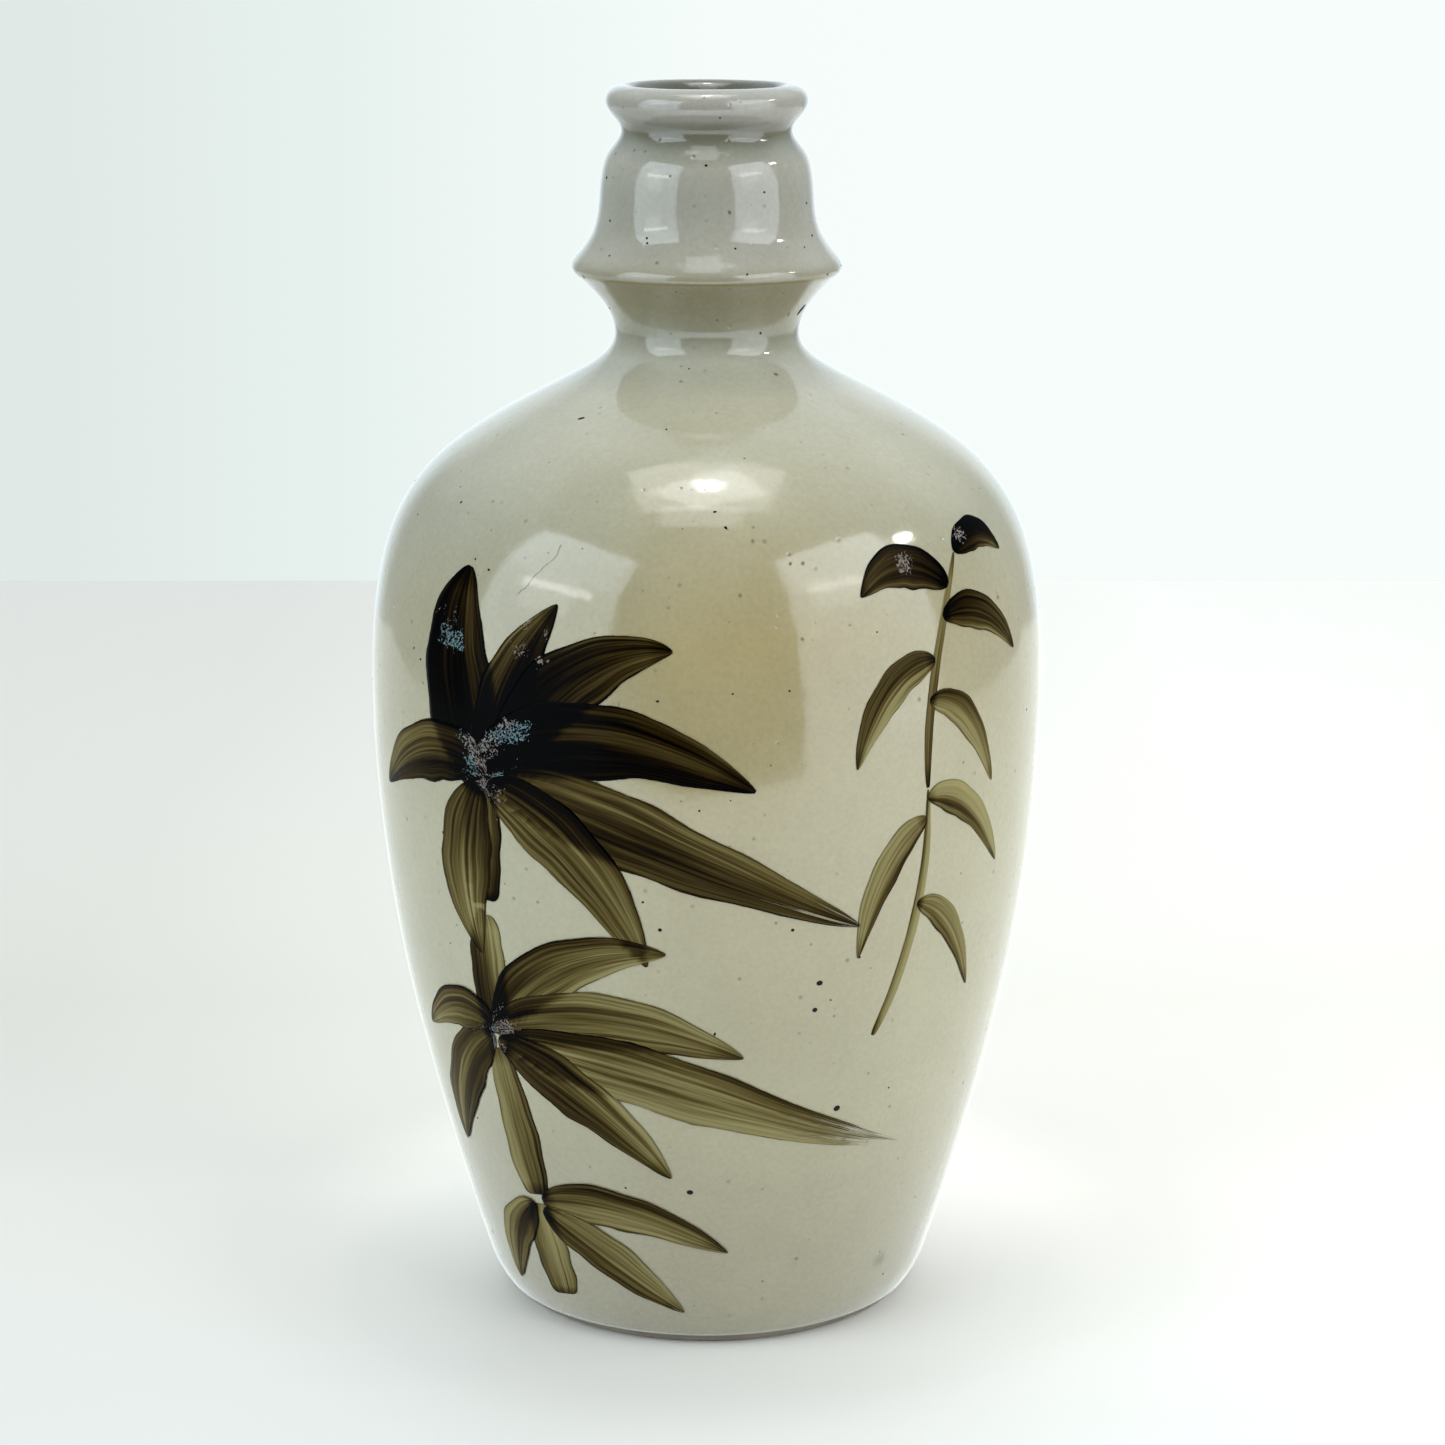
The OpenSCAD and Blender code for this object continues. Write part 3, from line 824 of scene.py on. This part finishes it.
# The larger specks: direction in degrees from the front, height, length and breadth in millimetres, and turn
SPECKS = [
    (-41.8, 194.7, 1.7, 0.8, 30), (69.0, 214.2, 3.2, 1.4, 55), (19.8, 85.7, 1.5, 1.2, 0),
    (19.3, 79.8, 1.2, 1.1, 0), (25.7, 56.5, 1.6, 1.4, 20), (-3.4, 38.8, 1.5, 1.2, 0),
    (-7.6, 98.3, 0.9, 0.8, 0), (14.5, 97.8, 0.8, 0.7, 0), (-20.9, 87.1, 0.7, 0.6, 0),
    (13.4, 147.1, 0.5, 0.5, 0), (-50.0, 144.2, 0.5, 0.5, 0), (-54.9, 147.3, 0.7, 0.5, 0),
    (27.0, 90.3, 0.6, 0.6, 0), (37.2, 58.9, 0.5, 0.5, 0), (4.3, 146.9, 0.5, 0.4, 0),
    (-69.0, 241.5, 0.9, 0.7, 0), (-60.0, 233.0, 0.7, 0.6, 0), (-50.0, 226.4, 0.6, 0.5, 0),
    (-30.0, 229.4, 0.6, 0.5, 0), (32.0, 239.5, 0.6, 0.5, 0), (14.0, 228.6, 0.5, 0.5, 0),
    (-66.0, 221.4, 1.1, 0.6, 70), (62.0, 222.2, 0.7, 0.5, 0), (8.0, 254.5, 0.5, 0.4, 0),
]


FINER_BEADS = 110


def make_specks():
    """Beads of iron standing a little proud of the glaze: the ones listed, and finer ones strewn about."""
    rng = random.Random(8)
    beads = list(SPECKS)
    for _ in range(FINER_BEADS):
        size = rng.uniform(0.25, 0.6)
        beads.append((rng.uniform(-180, 180), rng.uniform(8, 252), size * rng.uniform(1, 1.6), size,
                      rng.uniform(0, 180)))
    glaze = BVHTree.FromPolygons([v.co for v in outer_glaze.data.vertices],
                                 [p.vertices for p in outer_glaze.data.polygons])
    start_fresh()
    bpy.ops.mesh.primitive_uv_sphere_add(segments=8, ring_count=5, radius=0.5 * MM)
    pattern = bpy.context.object
    bpy.ops.object.mode_set(mode="EDIT")
    bpy.ops.mesh.select_all(action="SELECT")
    bpy.ops.mesh.bisect(plane_co=(0, 0, -0.1 * MM), plane_no=(0, 0, 1), use_fill=True, clear_inner=True)
    bpy.ops.mesh.inset(thickness=0.08 * MM, depth=0.06 * MM)
    bpy.ops.mesh.select_all(action="SELECT")
    bpy.ops.mesh.normals_make_consistent(inside=False)
    bpy.ops.object.mode_set(mode="OBJECT")
    made = []
    for azimuth, height, long, broad, turn in beads:
        a = math.radians(azimuth)
        outward = Vector((math.sin(a), -math.cos(a), 0))
        place, normal = glaze.ray_cast(outward * FAR + UP * height * MM, -outward)[:2]
        start_fresh()
        pattern.select_set(True)
        bpy.context.view_layer.objects.active = pattern
        bpy.ops.object.duplicate(linked=False)
        bead = bpy.context.object
        bead.location = place
        bead.scale = (long, broad, 0.25 * broad)
        facing = normal.to_track_quat("Z", "Y").to_matrix()
        bead.rotation_euler = (facing @ Matrix.Rotation(math.radians(turn), 3, "Z")).to_euler()
        bpy.ops.object.transform_apply(location=True, rotation=True, scale=True)
        made.append(bead)
    start_fresh()
    pattern.select_set(True)
    bpy.ops.object.delete()
    bpy.context.view_layer.objects.active = made[0]
    for bead in made:
        bead.select_set(True)
    bpy.ops.object.join()
    bpy.ops.object.shade_smooth()
    piece = bpy.context.object
    piece.name = piece.data.name = "iron_specks"
    return finish_piece(piece, iron_speck())


make_specks()


# ---------------------------------------------------------------- stage, light and camera

def area_light(name, place, target, size, radiance, colour="#ffffff", roll=0):
    """A soft rectangular light at a place, facing a target; radiance is how bright its face is."""
    light = bpy.data.lights.new(name, "AREA")
    light.shape = "RECTANGLE"
    light.size, light.size_y = size
    light.energy = radiance * math.pi * size[0] * size[1]
    light.color = tone(colour)[:3]
    lamp = bpy.data.objects.new(name, light)
    bpy.context.scene.collection.objects.link(lamp)
    lamp.location = place
    facing = (Vector(target) - Vector(place)).to_track_quat("-Z", "Y").to_matrix()
    lamp.rotation_euler = (facing @ Matrix.Rotation(math.radians(roll), 3, "Z")).to_euler()
    lamp.visible_camera = False
    return lamp


def around(azimuth, distance, height):
    """A place round the bottle: azimuth 0 is in front of it, 90 to its right."""
    a = math.radians(azimuth)
    return Vector((math.sin(a) * distance, -math.cos(a) * distance, height))


FLOOR_MIDDLE = (0, 0.155, 0)
FLOOR_SIZE = (1.58, 1.27, 1)
CAMERA_PLACE = (0.0033, -0.7866, 0.3103)
CAMERA_LENS = 93.75
DOWNWARD_TILT = 13.29


def make_floor():
    """White paper under the bottle and well out behind it, painted darker in front and to the left as painted
    shade.
    """
    material, tree, shader = new_material("white_table_paper")
    place = add(tree, "ShaderNodeTexCoord").outputs["Object"]
    axes = add(tree, "ShaderNodeSeparateXYZ", {0: place})
    # Painted light and shade: the paper's colour is graded darker in front and to the left and paler far
    # behind, standing in for how the light falls on it
    deep = add(tree, "ShaderNodeMapRange", {"Value": axes.outputs["Y"], "From Min": -0.2, "From Max": 0.8})
    paper = ramp(tree, deep.outputs[0], [
        (0.00, tone("#cecbc6")), (0.12, tone("#d0cdc6")), (0.25, tone("#e0dad1")), (0.40, tone("#dcd6cb")),
        (1.00, tone("#fbf3e9")),
    ])
    wide = add(tree, "ShaderNodeMapRange", {"Value": axes.outputs["X"], "From Min": -0.18, "From Max": 0.18,
                                            "To Min": 0.77, "To Max": 1.01})
    lit = add(tree, "ShaderNodeMix", {"Factor": 1.0, 6: paper, 7: wide.outputs[0]},
              data_type="RGBA", blend_type="MULTIPLY")
    # Painted light: the paper is painted paler close round the foot, standing in for light bounced off the
    # bottle
    from_foot = add(tree, "ShaderNodeVectorMath", {0: place, 1: (0.0, 0.035, 0.0)}, operation="DISTANCE")
    painted_foot_bounce = add(tree, "ShaderNodeMapRange", {"Value": from_foot.outputs["Value"], "From Min": 0.035,
                                             "From Max": 0.11, "To Min": 1.42, "To Max": 1.0},
                interpolation_type="SMOOTHSTEP")
    bounced = add(tree, "ShaderNodeMix", {"Factor": 1.0, 6: lit.outputs[2], 7: painted_foot_bounce.outputs[0]},
                  data_type="RGBA", blend_type="MULTIPLY")
    tree.links.new(bounced.outputs[2], shader.inputs["Base Color"])
    # Painted reflection: the paper glows in reflections only, most in front, so it is brighter in reflections
    # than it looks itself
    mirrored = add(tree, "ShaderNodeLightPath").outputs["Is Glossy Ray"]
    near = add(tree, "ShaderNodeMapRange", {"Value": axes.outputs["Y"], "From Min": -0.25, "From Max": 0.05,
                                            "To Min": 2.1, "To Max": 0.5})
    glare = add(tree, "ShaderNodeMath", {0: mirrored, 1: near.outputs[0]}, operation="MULTIPLY")
    shader.inputs["Emission Color"].default_value = tone("#e9f7ff")
    tree.links.new(glare.outputs[0], shader.inputs["Emission Strength"])
    shader.inputs["Roughness"].default_value = 0.6
    shader.inputs["Specular IOR Level"].default_value = 0.2
    start_fresh()
    bpy.ops.mesh.primitive_plane_add(size=1, location=FLOOR_MIDDLE)
    floor = bpy.context.object
    floor.scale = FLOOR_SIZE
    bpy.ops.object.transform_apply(location=True, rotation=True, scale=True)
    floor.name = "floor"
    floor.data.materials.append(material)


def make_world():
    """A pale backdrop behind the bottle, and softer daylight for everything it lights and reflects in."""
    world = bpy.data.worlds.new("studio")
    bpy.context.scene.world = world
    world.use_nodes = True
    tree = world.node_tree
    tree.nodes.clear()
    ray = add(tree, "ShaderNodeTexCoord").outputs["Generated"]
    axes = add(tree, "ShaderNodeSeparateXYZ", {0: ray})
    behind = add(tree, "ShaderNodeMapRange", {"Value": axes.outputs["Y"], "From Min": -0.7, "From Max": 0.5,
                                              "To Min": 0.14, "To Max": 1.40})
    above = add(tree, "ShaderNodeMapRange", {"Value": axes.outputs["Z"], "From Min": 0.25, "From Max": 0.65,
                                             "To Min": 0.42, "To Max": 1.0})
    wall = add(tree, "ShaderNodeMapRange", {"Value": axes.outputs["Y"], "From Min": 0.82, "From Max": 0.95,
                                            "To Min": 0.0, "To Max": 0.7})
    bright = add(tree, "ShaderNodeMath", {0: above.outputs[0], 1: wall.outputs[0]}, operation="ADD",
                 use_clamp=True)
    glow = add(tree, "ShaderNodeMath", {0: behind.outputs[0], 1: bright.outputs[0]}, operation="MULTIPLY")
    daylight = add(tree, "ShaderNodeMix", {"Factor": 1.0, 6: tone("#e9f7ff"), 7: glow.outputs[0]},
                   data_type="RGBA", blend_type="MULTIPLY")
    room = add(tree, "ShaderNodeBackground", {"Color": daylight.outputs[2], "Strength": 1.0})
    # Painted shade: the backdrop seen by the camera is painted darker toward the left
    sideways = add(tree, "ShaderNodeMapRange", {"Value": axes.outputs["X"], "From Min": -0.25, "From Max": 0.25,
                                                "To Min": 0.0, "To Max": 1.0})
    pale = ramp(tree, sideways.outputs[0], [
        (0.15, tone("#e1e9e6")), (0.29, tone("#e6f0ed")), (0.41, tone("#f0f8f6")), (0.5, tone("#f5fcfa")),
        (0.95, tone("#f7fefc")),
    ])
    backdrop = add(tree, "ShaderNodeBackground", {"Color": pale, "Strength": 1.0})
    seen = add(tree, "ShaderNodeLightPath").outputs["Is Camera Ray"]
    mixed = add(tree, "ShaderNodeMixShader", {0: seen, 1: room.outputs[0], 2: backdrop.outputs[0]})
    add(tree, "ShaderNodeOutputWorld", {0: mixed.outputs[0]})


def make_camera():
    """A camera in front of the bottle, looking a little down on it."""
    camera = bpy.data.cameras.new("camera")
    camera.sensor_width = 36.0
    camera.lens = CAMERA_LENS
    camera.clip_start = 0.05
    eye = bpy.data.objects.new("camera", camera)
    bpy.context.scene.collection.objects.link(eye)
    eye.location = CAMERA_PLACE
    eye.rotation_euler = (math.radians(90 - DOWNWARD_TILT), 0, 0)
    bpy.context.scene.camera = eye


make_floor()
make_world()
make_camera()
# A tall panel each side, tubes and soft blooms in front of them, and a ceiling with a lamp in it
for side, azimuth, colour, roll in (("left", -55, "#e4f4ff", -6), ("right", 54, "#eef7ff", 6)):
    area_light(f"{side}_panel", around(azimuth, 0.80, 0.45), (0, 0, 0.45), (0.76, 1.0), 3.5, colour, roll)
    area_light(f"{side}_panel_top", around(azimuth, 0.79, 0.75), (0, 0, 0.75), (0.72, 0.40), 1.2, colour, roll)
area_light("left_tube", around(-54, 0.77, 0.46), (0, 0, 0.46), (0.40, 0.05), 5.0)
area_light("right_tube", around(50, 0.77, 0.50), (0, 0, 0.50), (0.40, 0.05), 4.0)
area_light("left_bloom", around(-57, 0.78, 0.43), (0, 0, 0.43), (0.26, 0.24), 1.2)
area_light("right_bloom", around(47, 0.78, 0.47), (0, 0, 0.47), (0.26, 0.20), 1.2)
area_light("ceiling", (0.0, -0.02, 1.30), (0, 0, 0), (0.66, 0.56), 2.6)
area_light("ceiling_glow", (0.02, -0.03, 1.28), (0, 0, 0), (0.42, 0.32), 3.6)
area_light("ceiling_front", (-0.03, -0.38, 1.27), (0, 0, 0), (0.42, 0.30), 2.4)
area_light("ceiling_lamp", (0.0, 0.02, 1.25), (0, 0, 0), (0.10, 0.10), 22.0)
area_light("side_lamp", around(86, 0.80, 0.70), (0, 0, 0.2), (0.11, 0.05), 45.0)

scene = bpy.context.scene
scene.view_settings.view_transform = "Standard"
scene.view_settings.look = "None"
scene.cycles.use_denoising = True
